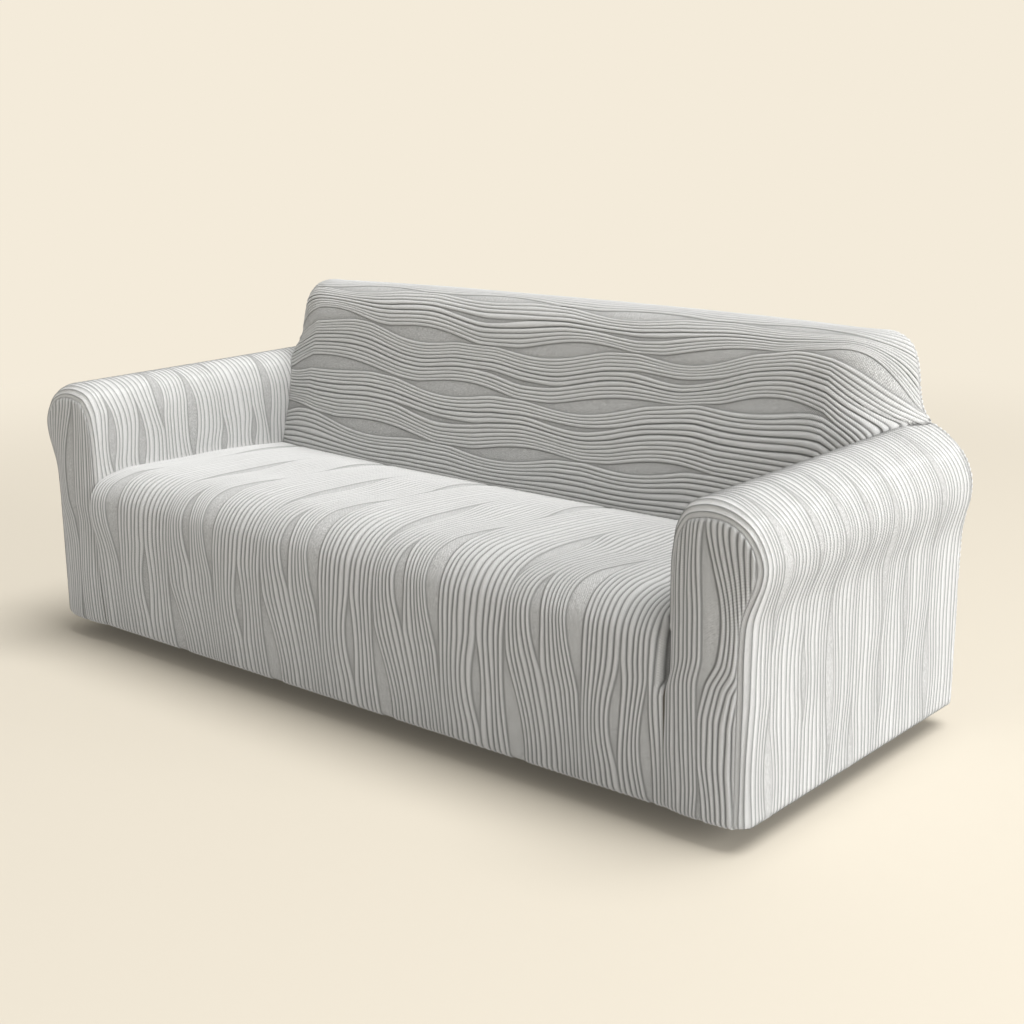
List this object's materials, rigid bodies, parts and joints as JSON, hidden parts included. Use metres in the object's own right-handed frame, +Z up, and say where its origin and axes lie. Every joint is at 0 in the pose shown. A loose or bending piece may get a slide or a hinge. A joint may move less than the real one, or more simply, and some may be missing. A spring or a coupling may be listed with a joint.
{
  "type": "sofa slipcover",
  "caption": "Fitted stretch slipcover for a three-seat sofa: ribbed panels over seat, front, back and arms, open below, with a turned-under elastic hem.",
  "frame": {"origin": "middle of the underside of the cover's top, where it rests on the top of the sofa's back", "axes": "+X to the sitter-facing viewer's right along the sofa's width, +Y from the front hem to the outer back, +Z up"},
  "size_m": [2.1868, 0.8861, 0.8289],
  "materials": {
    "ribbed_cloth": "matt light grey stretch knit with raised wavy ribs"
  },
  "bodies": {
    "root": {"back_panel": "ribbed_cloth", "seat_front_panel": "ribbed_cloth", "arm_panel_left": "ribbed_cloth", "arm_panel_right": "ribbed_cloth", "arm_front_left": "ribbed_cloth", "arm_front_right": "ribbed_cloth", "outer_back_panel": "ribbed_cloth"}
  },
  "joints": []
}
